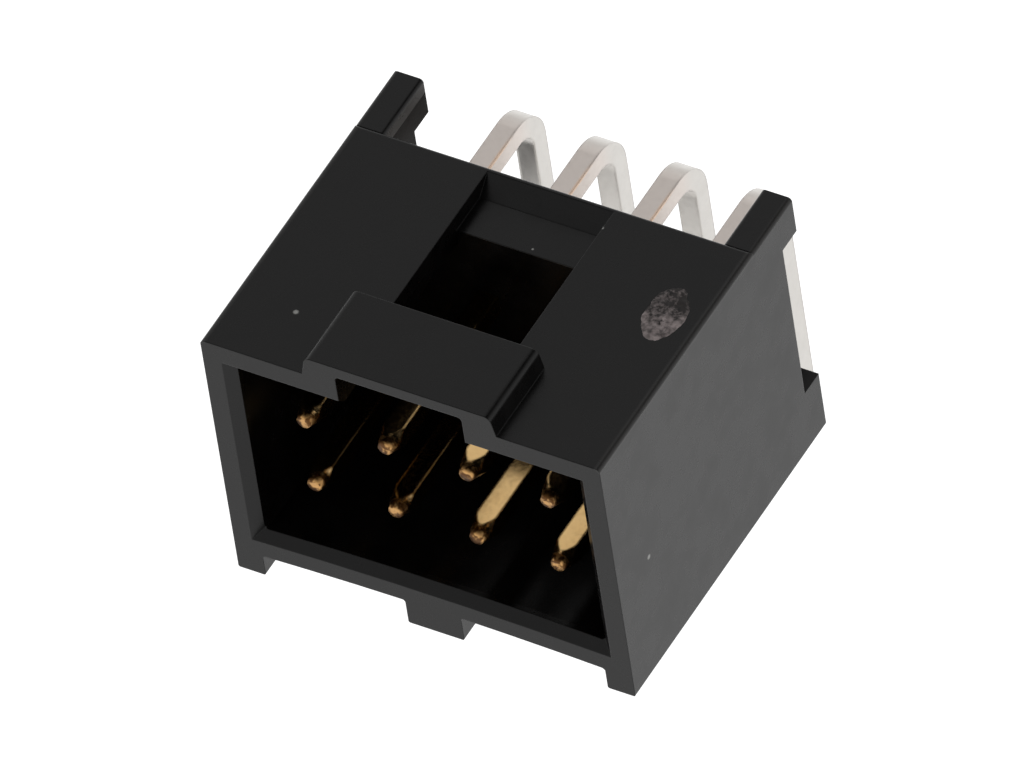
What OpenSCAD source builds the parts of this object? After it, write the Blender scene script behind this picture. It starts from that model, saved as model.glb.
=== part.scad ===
// Shrouded pin header ("box header"), right angle, two rows of square contacts.
//
// X runs along the rows. Y runs from the mating mouth (-Y) back to the solder tails (+Y), and Z
// points up from the board. Z = 0 is the seating plane, and the origin lies on it under the middle
// of the body, on the underside of the centre rib.

/* [Contacts] */
// Contacts in each row
columns = 4; // [2:1:8]
// Distance between neighbouring contacts, and between the two rows
pitch = 2; // [2:0.05:2.2]
// Side of the square wire
wire = 0.5; // [0.4:0.05:0.6]
// Height of the lower row above the board
lower_row_z = 2.75; // [2.6:0.05:2.8]
// How far the contact tips sit behind the mating face
tip_setback = 0.6; // [0.4:0.1:2]
// Diameter of the flat at a wire end
tip_flat_d = 0.33; // [0.2:0.01:0.38]
// Half angle of the cone that tapers a wire end
tip_angle = 20; // [15:1:30]
// Inside radius of the bend
bend_r = 0.55; // [0.5:0.05:1]
// Distance from the mating face to the lower row's tails
lower_tail_depth = 8.6; // [8.6:0.1:9.2]
// Length of a tail below the seating plane
tail_l = 2.8; // [2:0.1:3]

/* [Housing] */
// Height of the body above the board
body_h = 7.15; // [7:0.05:7.4]
// Length of the body from the mating face to its rear face
body_d = 6.9; // [6.7:0.05:7.1]
// Distance from the last contact of a row to the outside of the housing
end_margin = 1.9; // [1.8:0.05:2.2]
// Radius along the long outer edges
edge_r = 0.1; // [0.05:0.01:0.15]
// Radius along the top edge of the rear face
rear_r = 0.08; // [0.05:0.01:0.09]
// Diameter of the shallow dish round the moulding gate
gate_d = 0.9; // [0.8:0.1:1.5]
// Depth of the gate's dish
gate_depth = 0.04; // [0.02:0.01:0.1]

/* [Mating mouth] */
// Depth of the cavity that takes the socket
mouth_d = 5.3; // [5:0.1:5.8]
// Thickness of the side walls beside the cavity
side_wall = 0.7; // [0.6:0.02:0.8]
// Height of the cavity floor above the board
floor_z = 1.28; // [1.2:0.02:1.4]
// Thickness of the roof over the cavity
roof = 0.75; // [0.6:0.05:0.8]
// Size of the 45 degree lead-in round the mouth
lead_in = 0.23; // [0.1:0.01:0.3]
// Rise of the middle of the bottom wall
floor_bow = 0.1; // [0.04:0.01:0.12]

/* [Latch slot] */
// Width of the slot that keys and latches the socket
slot_w = 3.11; // [2:0.01:3.2]
// Height of the slot's ceiling above the body's top, under the bridge
slot_rise = 0.23; // [0.1:0.01:0.3]
// Length of the bridge over the slot
bridge_d = 2.17; // [1.5:0.01:3]
// Height of the bridge above the body's top
bridge_h = 0.53; // [0.45:0.01:0.7]
// Width of the bridge where it meets the body
bridge_w = 4.76; // [4.4:0.02:5]
// Inward lean of each flank of the bridge, from its foot to its top
bridge_lean = 0.11; // [0.05:0.01:0.2]
// Radius of the bridge's top edges
bridge_r = 0.18; // [0.1:0.01:0.2]
// Depth of the slot over the base
base_step = 0.4; // [0.3:0.02:0.6]
// Length of the ramp from the slot's floor up to the body's top
ramp_d = 0.45; // [0.4:0.05:0.8]
// Width of the land between the ramp and the rear face
land = 0.12; // [0.1:0.01:0.3]

/* [Board side] */
// Clearance between the body and the board
standoff = 0.6; // [0.5:0.05:0.7]
// Width of the rails along both sides
rail_w = 0.68; // [0.6:0.02:0.7]
// Width of the rib along the middle
rib_w = 1.38; // [1:0.02:1.5]
// Fillet between the underside and the rails and rib
standoff_fillet = 0.08; // [0.05:0.01:0.15]
// Radius along the lower edges of the rails, rib and feet
foot_r = 0.05; // [0.03:0.01:0.08]
// Thickness of the cheeks behind the body
cheek_t = 0.73; // [0.7:0.01:0.8]
// Distance from the mating face to the ends of the cheeks
cheek_depth = 8.65; // [8.3:0.05:8.8]
// How far the middle of a cheek is cut back from its ends
cheek_relief = 0.63; // [0.4:0.01:0.8]
// Height of the foot at the bottom of a cheek
foot_h = 1.6; // [1.4:0.1:1.8]
// Height of the arm at the top of a cheek
arm_h = 1.05; // [0.8:0.05:1.2]
// Step down from the body's top to the arms
arm_drop = 0.03; // [0.02:0.01:0.06]

/* [Hidden] */
ROWS = ["upper", "lower"];

// Facets of the small round edges and of the large shallow bows
$fn = 48;
BOW_FACETS = 720;
// Cuts run this far past the faces that they open
past = 0.5;

body_w = (columns - 1) * pitch + 2 * end_margin;
front_y = -body_d / 2;
rear_y = body_d / 2;
cheek_y = front_y + cheek_depth;
roof_z = body_h - roof;
mouth_w = body_w - 2 * side_wall;
base_y = front_y + mouth_d;
base_z = body_h - base_step;
ramp_y = rear_y - land;
bend_out_r = bend_r + wire;
tip_y = front_y + tip_setback;
// Length of a tapered end: the taper itself, and a root of full section that overlaps the bar
root_l = wire / 5;
tip_l = (wire / sqrt(2) - tip_flat_d / 2) / tan(tip_angle) + root_l;
// The gate lies near the right-hand edge, behind the middle of the body
gate_x = body_w / 2 - 0.87;
gate_y = 1.14;

// Placing of what repeats

// X of a contact, counted from 1 at the left
function contact_x(i) = (i - (columns + 1) / 2) * pitch;
function row_z(row) = lower_row_z + (row == "upper" ? pitch : 0);
function tail_y(row) = front_y + lower_tail_depth + (row == "upper" ? pitch : 0);
// Radius of an arc that rises by `rise` over a chord
function bow_r(chord, rise) = chord * chord / (8 * rise) + rise / 2;

// Outlines, drawn in X and Z

// Rectangle from the origin with all its corners rounded
module rounded_rect(w, h, r) {
    translate([r, 0]) square([w - 2 * r, h]);
    translate([0, r]) square([w, h - 2 * r]);
    for (x = [r, w - r], z = [r, h - r]) translate([x, z]) circle(r);
}

// Material that fills a square inside corner at the origin, in the positive quadrant
module corner_fillet(r) {
    difference() {
        square(r);
        translate([r, r]) circle(r);
    }
}

// Circular segment that stands on a chord centred at the origin
module bow(chord, rise) {
    r = bow_r(chord, rise);
    intersection() {
        translate([0, rise - r]) circle(r, $fn = BOW_FACETS);
        translate([-chord / 2, 0]) square([chord, rise + past]);
    }
}

module body_outline() {
    under_w = body_w - 2 * rail_w;
    difference() {
        translate([-body_w / 2, standoff]) rounded_rect(body_w, body_h - standoff, edge_r);
        translate([0, standoff]) bow(under_w, floor_bow);
    }
    for (x = [-body_w / 2, body_w / 2 - rail_w])
        translate([x, 0]) rounded_rect(rail_w, 2 * standoff, foot_r);
    translate([-rib_w / 2, 0]) rounded_rect(rib_w, 2 * standoff, foot_r);
    for (side = [0, 1]) mirror([side, 0]) {
        translate([under_w / 2, standoff]) rotate(180) corner_fillet(standoff_fillet);
        translate([rib_w / 2, standoff + floor_bow]) mirror([0, 1]) corner_fillet(standoff_fillet);
    }
}

// Trapezoid with rounded top corners, standing on the body's top
module bridge_outline() {
    top = bridge_h;
    foot_x = bridge_w / 2;
    top_x = foot_x - bridge_lean;
    lean = bridge_lean / bridge_h;
    flank = sqrt(1 + lean * lean);
    // Centre of the corner's arc, tangent to the top and to the leaning flank
    arc_x = top_x + lean * bridge_r - bridge_r * flank;
    arc_z = top - bridge_r;
    side_x = arc_x + bridge_r / flank;
    side_z = arc_z + bridge_r * lean / flank;
    polygon([
        [-foot_x, 0], [foot_x, 0], [side_x, side_z], [arc_x, top],
        [-arc_x, top], [-side_x, side_z]
    ]);
    for (x = [-arc_x, arc_x]) translate([x, arc_z]) circle(bridge_r);
}

// Extrudes an X-Z outline from one Y to another
module along_y(from, to) {
    translate([0, to, 0]) rotate([90, 0, 0]) linear_extrude(to - from) children();
}

// Extrudes a Y-Z outline to a width centred on X = 0
module along_x(w) {
    translate([-w / 2, 0, 0]) rotate([90, 0, 90]) linear_extrude(w) children();
}

// Housing

// Body with its rear top edge rounded
module body() {
    difference() {
        along_y(front_y, rear_y) body_outline();
        along_x(body_w + 2 * past) translate([rear_y, body_h]) rotate(180) difference() {
            translate([-past, -past]) square(rear_r + past);
            translate([rear_r, rear_r]) circle(rear_r);
        }
    }
}

// C-shaped cheek beside the bent contacts, with an arm on top and a foot on the board
module cheek() {
    relief_h = body_h - foot_h - arm_h;
    difference() {
        along_y(rear_y, cheek_y) translate([body_w / 2 - cheek_t, 0]) {
            rounded_rect(cheek_t, body_h - arm_drop, edge_r);
            rounded_rect(cheek_t, foot_h, foot_r);
        }
        translate([body_w / 2 - cheek_t - past, cheek_y - cheek_relief, foot_h])
            cube([cheek_t + 2 * past, cheek_relief + past, relief_h]);
    }
}

// Cavity with its bowed floor
module mouth() {
    mouth_h = roof_z - floor_z;
    along_y(front_y - past, base_y) difference() {
        translate([-mouth_w / 2, floor_z]) rounded_rect(mouth_w, mouth_h, edge_r);
        translate([0, floor_z]) bow(mouth_w, floor_bow);
    }
    mouth_lead_in();
}

// Mitred 45 degree lead-in: where two tapered prisms cross, less the bow of the lower lip.
// It starts ahead of the mating face and narrows on into the cavity, past where they meet.
module mouth_lead_in() {
    y0 = front_y - past;
    y1 = front_y + lead_in + past;
    half_w = mouth_w / 2;
    wide = lead_in + past;
    lip_bow = floor_bow / sqrt(2);
    lip_r = bow_r(mouth_w + 2 * lead_in, lip_bow);
    difference() {
        intersection() {
            linear_extrude(body_h) polygon([
                [-half_w - wide, y0], [half_w + wide, y0],
                [half_w - past, y1], [-half_w + past, y1]
            ]);
            along_x(body_w + 2 * past) polygon([
                [y0, floor_z - wide], [y1, floor_z + past],
                [y1, roof_z - past], [y0, roof_z + wide]
            ]);
        }
        translate([0, front_y + lead_in, floor_z])
            rotate([45, 0, 0])
            translate([0, 0, lip_bow - lip_r])
            rotate([90, 0, 0])
            cylinder(h = 8 * wide, r = lip_r, center = true, $fn = BOW_FACETS);
    }
}

// Keyed slot: tunnelled under the bridge, open behind it, then a step and a ramp over the base
module latch_slot() {
    slot_z = body_h + slot_rise;
    open_y = front_y + bridge_d;
    open_z = body_h + past;
    along_y(front_y - past, base_y)
        translate([-slot_w / 2, roof_z - edge_r])
        rounded_rect(slot_w, slot_z - roof_z + edge_r, edge_r);
    along_x(slot_w) polygon([
        [open_y, base_z], [ramp_y - ramp_d, base_z],
        [ramp_y, body_h], [ramp_y, open_z], [open_y, open_z]
    ]);
}

// Square holes through the base, filled by the contacts
module wire_holes() {
    for (row = ROWS, i = [1 : columns])
        translate([contact_x(i) - wire / 2, base_y - past, row_z(row) - wire / 2])
        cube([wire, rear_y - base_y + 2 * past, wire]);
}

module housing() {
    color([0.1, 0.1, 0.1]) difference() {
        union() {
            body();
            along_y(front_y, front_y + bridge_d) translate([0, body_h]) bridge_outline();
            for (side = [0, 1]) mirror([side, 0, 0]) cheek();
        }
        mouth();
        latch_slot();
        wire_holes();
        translate([gate_x, gate_y, body_h - gate_depth]) cylinder(h = past, d = gate_d);
    }
}

// Contacts

// Tapered wire end, pointing down from its root to a flat at the origin
module wire_end() {
    intersection() {
        translate([-wire / 2, -wire / 2, 0]) cube([wire, wire, tip_l]);
        cylinder(h = tip_l, r1 = tip_flat_d / 2, r2 = tip_flat_d / 2 + tip_l * tan(tip_angle));
    }
}

// One wire: tip in the mouth, straight run through the base, bend down, tail into the board
module contact(row, i) {
    z = row_z(row);
    bend_y = tail_y(row) + wire / 2 - bend_out_r;
    bend_z = z + wire / 2 - bend_out_r;
    run_y = tip_y + tip_l - root_l / 2;
    tail_z = tip_l - tail_l - root_l / 2;
    color([0.86, 0.7, 0.42]) translate([contact_x(i), 0, 0]) {
        translate([0, tip_y, z]) rotate([-90, 0, 0]) wire_end();
        translate([-wire / 2, run_y, z - wire / 2]) cube([wire, bend_y - run_y, wire]);
        translate([0, bend_y, bend_z])
            rotate([90, 0, 90])
            rotate_extrude(angle = 90)
            translate([bend_r, -wire / 2]) square(wire);
        translate([-wire / 2, tail_y(row) - wire / 2, tail_z]) cube([wire, wire, bend_z - tail_z]);
        translate([0, tail_y(row), -tail_l]) wire_end();
    }
}

housing();
for (row = ROWS, i = [1 : columns])
    contact(row, i);
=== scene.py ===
"""Looks of a right-angle box header: a black moulded housing round gold and tin plated contacts."""

import math

import bmesh
import bpy
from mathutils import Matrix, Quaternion, Vector, noise


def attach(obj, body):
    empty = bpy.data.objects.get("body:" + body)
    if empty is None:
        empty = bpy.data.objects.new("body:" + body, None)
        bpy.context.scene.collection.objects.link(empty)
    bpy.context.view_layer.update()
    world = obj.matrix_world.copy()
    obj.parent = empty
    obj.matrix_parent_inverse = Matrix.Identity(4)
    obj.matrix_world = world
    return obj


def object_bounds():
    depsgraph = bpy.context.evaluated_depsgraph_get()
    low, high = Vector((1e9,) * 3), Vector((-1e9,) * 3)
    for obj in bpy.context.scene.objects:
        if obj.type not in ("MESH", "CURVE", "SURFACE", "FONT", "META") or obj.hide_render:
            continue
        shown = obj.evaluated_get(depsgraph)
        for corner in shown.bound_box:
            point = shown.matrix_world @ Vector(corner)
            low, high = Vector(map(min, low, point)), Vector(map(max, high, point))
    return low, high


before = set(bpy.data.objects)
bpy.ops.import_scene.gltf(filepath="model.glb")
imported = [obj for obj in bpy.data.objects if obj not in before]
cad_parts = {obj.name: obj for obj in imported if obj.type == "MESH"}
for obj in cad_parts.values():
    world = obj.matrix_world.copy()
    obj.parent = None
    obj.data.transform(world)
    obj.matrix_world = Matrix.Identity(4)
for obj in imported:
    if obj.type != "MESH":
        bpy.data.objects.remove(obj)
cad_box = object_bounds()

MM = 0.001

# Camera: a long lens that looks down on the mating mouth from the right
CAMERA_AIM = Vector((-0.630, 1.664, 2.470)) * MM
CAMERA_AZIMUTH = 35.475
CAMERA_ELEVATION = 46.447
CAMERA_ROLL = 9.259
CAMERA_DISTANCE = 780.6 * MM
CAMERA_LENS = 1274.7

# Materials are placed in mm, along the part's own axes: where the contacts' gold gives way to tin
# inside the base, where their points end, how high the upper wires' tops lie, and the columns' pitch
PLATING_Y = 2.75
TIP_Y = -2.85
WIRE_TOP_Z = 5.0
PITCH = 2.0
# The mouth's middle, its half sizes to just past the walls' faces, and where its lead-in ends
MOUTH_Z = 3.84
MOUTH_HALF_X, MOUTH_HALF_Z = 4.4, 2.89
MOUTH_FRONT_Y = -3.1
# Half the housing's width plus its height: |X| + Z on its long top edges
LONG_EDGE = 12.05

# The scar of the moulding gate, on the housing's top
GATE_CENTRE = Vector((4.03, 1.14, 7.15)) * MM
GATE_LENGTH = 1.69 * MM
GATE_WIDTH = 0.98 * MM
GATE_TURN = -2
# Dark holes torn in it: centre and radius in mm
GATE_HOLES = (
    ((4.10, 0.86, 7.15), 0.14),
    ((3.80, 1.70, 7.15), 0.15),
    ((4.20, 1.32, 7.15), 0.12),
)

# How ragged its rim is, as shares of its size
RIM_WAVE, RIM_JAG = 0.07, 0.025
# The heights of its skin and of the lumps on it, and how far its rim sinks, in mm
SKIN_HEIGHT, LUMP_HEIGHT, RIM_SINK = 0.012, 0.028, 0.004

# Specks of dust on the housing: centre and radius in mm
SPECKS = (
    ((-3.38, -1.92, 7.15), 0.08),
    ((1.55, 2.82, 7.15), 0.05),
    ((0.24, 2.0, 6.75), 0.035),
    ((4.9, -2.14, 3.12), 0.08),
)

# Area lights: name, place, aim and size in metres, and power in watts
LIGHTS = (
    ("softbox", (-0.125, 0.195, 0.22), (0, 0, 0.006), (0.3, 0.23), 0.155),
    ("fill", (-0.14, -0.24, 0.21), (0, 0, 0.004), (0.2, 0.2), 0.083),
)


# Nodes

class Nodes:
    """A material's or world's node tree, with short calls to add and link nodes."""

    def __init__(self, owner):
        owner.use_nodes = True
        self.tree = owner.node_tree
        self.tree.nodes.clear()

    def add(self, kind, settings=None, **inputs):
        node = self.tree.nodes.new(kind)
        for name, value in (settings or {}).items():
            setattr(node, name, value)
        for name, value in inputs.items():
            self.set(node, name.replace("_", " "), value)
        return node

    def set(self, node, name, value):
        socket = node.inputs[int(name)] if name.isdigit() else node.inputs[name]
        if isinstance(value, bpy.types.NodeSocket):
            self.tree.links.new(value, socket)
        else:
            socket.default_value = value

    def math(self, operation, a, b=0.0, clamp=False):
        node = self.add("ShaderNodeMath", {"operation": operation, "use_clamp": clamp})
        self.set(node, "0", a)
        self.set(node, "1", b)
        return node.outputs[0]

    def near(self, value, middle, reach):
        """1 where the value is within reach of the middle, and 0 elsewhere."""
        close = self.math("COMPARE", value, middle)
        close.node.inputs[2].default_value = reach
        return close

    def ramp(self, value, low, high, out_low=0.0, out_high=1.0):
        node = self.add("ShaderNodeMapRange", {"interpolation_type": "SMOOTHSTEP"})
        self.set(node, "Value", value)
        self.set(node, "From Min", low)
        self.set(node, "From Max", high)
        self.set(node, "To Min", out_low)
        self.set(node, "To Max", out_high)
        return node.outputs["Result"]

    def mix(self, factor, a, b):
        node = self.add("ShaderNodeMix", {"data_type": "RGBA"})
        for socket, value in ((0, factor), (6, a), (7, b)):
            self.set(node, str(socket), value)
        return node.outputs[2]

    def noise(self, place, scale, detail=2.0, rough=0.5):
        node = self.add("ShaderNodeTexNoise", Scale=scale, Detail=detail, Roughness=rough)
        self.set(node, "Vector", place)
        return node.outputs["Fac"]


def new_material(name):
    material = bpy.data.materials.new(name)
    nodes = Nodes(material)
    place = nodes.add("ShaderNodeTexCoord").outputs["Object"]
    millimetres = nodes.add("ShaderNodeVectorMath", {"operation": "SCALE"}, Scale=1 / MM)
    nodes.set(millimetres, "0", place)
    return material, nodes, millimetres.outputs[0]


def axes_of(nodes, place):
    split = nodes.add("ShaderNodeSeparateXYZ")
    nodes.set(split, "0", place)
    return split.outputs["X"], split.outputs["Y"], split.outputs["Z"]


def finish_material(nodes, shader):
    nodes.set(nodes.add("ShaderNodeOutputMaterial"), "Surface", shader.outputs[0])


def edge_normal(nodes, radius, height, strength, distance):
    """A normal rounded at the edges by radius, then roughened by the height."""
    bevel = nodes.add("ShaderNodeBevel", {"samples": 6}, Radius=radius)
    bump = nodes.add("ShaderNodeBump", Strength=strength, Distance=distance)
    nodes.set(bump, "Height", height)
    nodes.set(bump, "Normal", bevel.outputs[0])
    return bump.outputs[0]


# Materials

def spots(nodes, place, wanted):
    """1 on the wanted spots, and 0 elsewhere."""
    found = 0.0
    for centre, radius in wanted:
        away = nodes.add("ShaderNodeVectorMath", {"operation": "DISTANCE"})
        nodes.set(away, "0", place)
        away.inputs[1].default_value = centre
        spot = nodes.ramp(away.outputs["Value"], 0.4 * radius, radius, 1.0, 0.0)
        found = nodes.math("MAXIMUM", found, spot)
    return found


def housing_plastic():
    """Black moulded plastic: finely grained, softly satin and a little mottled."""
    material, nodes, place = new_material("housing_plastic")
    x, y, z = axes_of(nodes, place)
    grain = nodes.noise(place, 14, 3, 0.65)
    mottle = nodes.noise(place, 1.3, 4, 0.6)
    shader = nodes.add("ShaderNodeBsdfPrincipled")
    dark, light = (0.002, 0.0018, 0.0018, 1), (0.004, 0.0036, 0.0035, 1)
    black = nodes.mix(nodes.ramp(mottle, 0.3, 0.7), dark, light)
    # Painted highlight: the long top edges are painted a little paler, standing in for light caught
    # along their rounded edges
    from_middle = nodes.math("ADD", nodes.math("ABSOLUTE", x), z)
    edge = nodes.ramp(from_middle, LONG_EDGE - 0.17, LONG_EDGE - 0.09)
    black = nodes.mix(edge, black, (0.03, 0.029, 0.028, 1))
    dusty = spots(nodes, place, SPECKS)
    nodes.set(shader, "Base Color", nodes.mix(dusty, black, (0.45, 0.45, 0.43, 1)))
    # Inside the mouth the plastic is a little smoother and reflects less, least of all at the back
    wide = nodes.near(x, 0.0, MOUTH_HALF_X)
    high = nodes.near(z, MOUTH_Z, MOUTH_HALF_Z)
    deep = nodes.math("GREATER_THAN", y, MOUTH_FRONT_Y)
    inside = nodes.math("MULTIPLY", deep, nodes.math("MULTIPLY", wide, high))
    dull = nodes.ramp(y, 0.5, 1.8, 0.22, 0.42)
    satin = nodes.ramp(mottle, 0.3, 0.7, 0.24, 0.32)
    rough = nodes.math("SUBTRACT", satin, nodes.math("MULTIPLY", inside, 0.04))
    glint = nodes.math("SUBTRACT", 0.5, nodes.math("MULTIPLY", inside, dull))
    nodes.set(shader, "Roughness", rough)
    nodes.set(shader, "Specular IOR Level", glint)
    nodes.set(shader, "IOR", 1.32)
    nodes.set(shader, "Normal", edge_normal(nodes, 0.03 * MM, grain, 0.25, 0.004 * MM))
    finish_material(nodes, shader)
    return material


def contact_plating():
    """Gold in the mouth and bright tin on the bent legs, on square drawn wire."""
    material, nodes, place = new_material("contact_plating")
    x, y, z = axes_of(nodes, place)
    tinned = nodes.ramp(y, PLATING_Y - 0.2, PLATING_Y + 0.2)
    cloud = nodes.noise(place, 2.2, 4, 0.6)
    scuff = nodes.noise(place, 9, 3, 0.6)
    gold = nodes.mix(cloud, (0.72, 0.46, 0.19, 1), (0.84, 0.58, 0.27, 1))
    tin = nodes.mix(cloud, (0.56, 0.54, 0.51, 1), (0.64, 0.62, 0.59, 1))
    # The points are darker and browner than the rest of the gold, with darker uneven patches
    tip = nodes.ramp(y, TIP_Y + 0.13, TIP_Y + 0.28, 1.0, 0.0)
    dark_tip_patches = nodes.math("MULTIPLY", tip, nodes.ramp(nodes.noise(place, 5.5, 2, 0.6), 0.4, 0.55))
    gold = nodes.mix(nodes.math("MULTIPLY", tip, 0.7), gold, (0.42, 0.2, 0.06, 1))
    gold = nodes.mix(dark_tip_patches, gold, (0.1, 0.045, 0.015, 1))
    # Near the housing the upper wires' tin is pinkish
    run = nodes.ramp(y, 6.3, 7.0, 0.6, 0.0)
    thin = nodes.math("MULTIPLY", run, nodes.ramp(z, 1.6, 2.2))
    tin = nodes.mix(thin, tin, (0.68, 0.59, 0.54, 1))
    # Painted highlight: the highest wires' top right edges are painted bright orange there, a line
    # standing in for light caught on their rounded edges
    columns = nodes.math("MULTIPLY", nodes.math("ADD", x, 2 * PITCH), 1 / PITCH)
    right = nodes.ramp(nodes.math("FRACT", columns), 0.59, 0.61)
    corner = nodes.math("MULTIPLY", right, nodes.ramp(z, WIRE_TOP_Z - 0.07, WIRE_TOP_Z - 0.04))
    painted_edge_highlight = nodes.math("MULTIPLY", corner, nodes.ramp(y, 5.5, 6.3, 0.6, 0.0))
    tin = nodes.mix(painted_edge_highlight, tin, (0.95, 0.66, 0.46, 1))
    shader = nodes.add("ShaderNodeBsdfPrincipled", Metallic=1.0)
    nodes.set(shader, "Base Color", nodes.mix(tinned, gold, tin))
    smooth = nodes.ramp(scuff, 0.35, 0.75, 0.12, 0.2)
    rough = nodes.math("ADD", smooth, nodes.math("MULTIPLY", tinned, 0.18))
    rough = nodes.math("ADD", rough, nodes.math("MULTIPLY", tip, 0.16))
    nodes.set(shader, "Roughness", rough)
    dents = nodes.math("MULTIPLY", nodes.noise(place, 3.2, 1, 0.5), tip)
    rounding = nodes.math("MULTIPLY", nodes.math("ADD", tip, 1.2), 0.07 * MM)
    nodes.set(shader, "Normal", edge_normal(nodes, rounding, dents, 0.8, 0.06 * MM))
    finish_material(nodes, shader)
    return material


def torn_plastic():
    """The pale, rough plastic where the moulding gate broke off."""
    material, nodes, place = new_material("torn_plastic")
    shred = nodes.noise(place, 9, 4, 0.6)
    patch = nodes.noise(place, 2.5, 3, 0.6)
    # Palest at the end towards the mouth
    clean = nodes.ramp(axes_of(nodes, place)[1], 0.5, 1.8, 0.6, 0.0)
    light = nodes.math("ADD", clean, nodes.ramp(shred, 0.3, 0.7, -0.25, 0.3))
    light = nodes.math("ADD", light, nodes.ramp(patch, 0.35, 0.65, -0.25, 0.2), True)
    pale = nodes.mix(light, (0.025, 0.02, 0.019, 1), (0.52, 0.44, 0.43, 1))
    holes = nodes.math("MULTIPLY", spots(nodes, place, GATE_HOLES), nodes.ramp(shred, 0.6, 0.4))
    shader = nodes.add("ShaderNodeBsdfPrincipled", Roughness=0.7)
    nodes.set(shader, "Base Color", nodes.mix(holes, pale, (0.004, 0.002, 0.002, 1)))
    bump = nodes.add("ShaderNodeBump", Strength=0.6, Distance=0.01 * MM)
    nodes.set(bump, "Height", shred)
    nodes.set(shader, "Normal", bump.outputs[0])
    finish_material(nodes, shader)
    return material


def pale_floor():
    """Pale floor: its own colour is shown at full brightness, less the object's shadow."""
    material = bpy.data.materials.new("pale_floor")
    nodes = Nodes(material)
    path = nodes.add("ShaderNodeLightPath").outputs
    seen = nodes.math("ADD", path["Is Camera Ray"], path["Is Glossy Ray"], True)
    seen = nodes.math("ADD", seen, path["Is Transmission Ray"], True)
    glow = nodes.add("ShaderNodeEmission", Color=(1, 1, 1, 1), Strength=1.1)
    catcher = nodes.add("ShaderNodeBsdfDiffuse", Color=(0.3, 0.3, 0.3, 1))
    shown = nodes.add("ShaderNodeAddShader")
    nodes.set(shown, "0", glow.outputs[0])
    nodes.set(shown, "1", catcher.outputs[0])
    paint = nodes.add("ShaderNodeBsdfDiffuse", Color=(0.8, 0.8, 0.8, 1))
    both = nodes.add("ShaderNodeMixShader")
    for socket, value in (("0", seen), ("1", paint.outputs[0]), ("2", shown.outputs[0])):
        nodes.set(both, socket, value)
    finish_material(nodes, both)
    return material


# Pieces

def add_piece(name, mesh_maker, material):
    mesh = bpy.data.meshes.new(name)
    built = bmesh.new()
    mesh_maker(built)
    bmesh.ops.recalc_face_normals(built, faces=built.faces)
    built.to_mesh(mesh)
    built.free()
    mesh.materials.append(material)
    piece = bpy.data.objects.new(name, mesh)
    bpy.context.scene.collection.objects.link(piece)
    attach(piece, "root")


def gate_scar(built):
    """A thin torn patch: rings of points round the gate, jagged at the rim and rough on top."""
    rings, spokes = 16, 72
    turn = math.radians(GATE_TURN)
    long_axis = Vector((math.sin(turn), math.cos(turn), 0))
    short_axis = Vector((math.cos(turn), -math.sin(turn), 0))
    centre = built.verts.new(GATE_CENTRE + Vector((0, 0, 0.005 * MM)))
    previous = None
    for ring in range(1, rings + 1):
        share = ring / rings
        row = []
        for spoke in range(spokes):
            angle = 2 * math.pi * spoke / spokes
            way = Vector((math.cos(angle), math.sin(angle), 0))
            jag = 1 + RIM_WAVE * noise.noise(way * 1.6) + RIM_JAG * noise.noise(way * 5)
            flat = (long_axis * way.x * GATE_LENGTH + short_axis * way.y * GATE_WIDTH) / 2
            spot = GATE_CENTRE + flat * share * jag
            lumps = noise.noise(spot / MM * 3.1) * 0.6 + noise.noise(spot / MM * 8.3) * 0.4
            edge = min(1, (1 - share) * 5)
            raised = SKIN_HEIGHT + LUMP_HEIGHT * max(-0.4, lumps)
            spot.z += raised * MM * edge - RIM_SINK * MM * (1 - edge)
            row.append(built.verts.new(spot))
        for spoke in range(spokes):
            after = (spoke + 1) % spokes
            if previous is None:
                built.faces.new((centre, row[spoke], row[after]))
            else:
                built.faces.new((previous[spoke], row[spoke], row[after], previous[after]))
        previous = row


def dress_nodes():
    plastic, plating = housing_plastic(), contact_plating()
    for name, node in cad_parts.items():
        material = plastic if name == "housing" else plating
        node.data.materials.clear()
        node.data.materials.append(material)


# Stage

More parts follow.
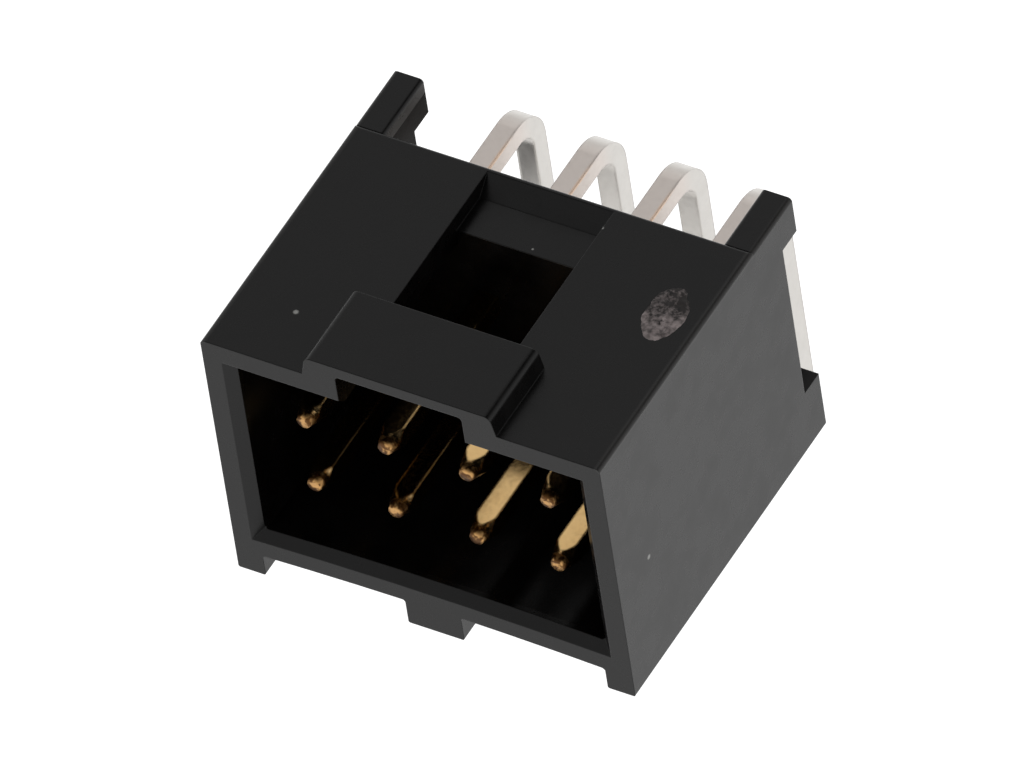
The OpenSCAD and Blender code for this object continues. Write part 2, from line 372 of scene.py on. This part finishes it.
def add_floor(lowest):
    bpy.ops.mesh.primitive_plane_add(size=6, location=(0, 0, lowest))
    floor = bpy.context.object
    floor.name = "floor"
    floor.data.materials.append(pale_floor())


def add_light(name, place, aim, size, power):
    data = bpy.data.lights.new(name, "AREA")
    data.shape = "RECTANGLE"
    data.size, data.size_y = size
    data.energy = power
    light = bpy.data.objects.new(name, data)
    light.location = place
    light.rotation_euler = (Vector(aim) - Vector(place)).to_track_quat("-Z", "Y").to_euler()
    bpy.context.scene.collection.objects.link(light)


def add_world():
    """Pale round the horizon and below it, and dim overhead, less so to the right."""
    world = bpy.data.worlds.new("studio")
    bpy.context.scene.world = world
    nodes = Nodes(world)
    x, _, z = axes_of(nodes, nodes.add("ShaderNodeTexCoord").outputs["Generated"])
    lean = nodes.math("MULTIPLY", x, 0.2)
    height = nodes.ramp(nodes.math("SUBTRACT", z, lean), 0.15, 0.78)
    colour = nodes.mix(height, (1, 1, 1, 1), (0.03, 0.03, 0.03, 1))
    background = nodes.add("ShaderNodeBackground", Strength=1.0)
    nodes.set(background, "Color", colour)
    nodes.set(nodes.add("ShaderNodeOutputWorld"), "Surface", background.outputs[0])


def add_camera():
    data = bpy.data.cameras.new("camera")
    data.lens = CAMERA_LENS
    data.sensor_width = 36
    data.clip_start, data.clip_end = 0.01, 10
    camera = bpy.data.objects.new("camera", data)
    azimuth, elevation = math.radians(CAMERA_AZIMUTH), math.radians(CAMERA_ELEVATION)
    back = Vector((
        math.sin(azimuth) * math.cos(elevation),
        -math.cos(azimuth) * math.cos(elevation),
        math.sin(elevation),
    ))
    roll = Quaternion((0, 0, 1), -math.radians(CAMERA_ROLL))
    camera.location = CAMERA_AIM + back * CAMERA_DISTANCE
    camera.rotation_mode = "QUATERNION"
    camera.rotation_quaternion = (-back).to_track_quat("-Z", "Y") @ roll
    bpy.context.scene.collection.objects.link(camera)
    bpy.context.scene.camera = camera


add_camera()
add_world()
add_floor(cad_box[0].z)
for light in LIGHTS:
    add_light(*light)

dress_nodes()
add_piece("gate_scar", gate_scar, torn_plastic())
bpy.context.scene.view_settings.view_transform = "Standard"
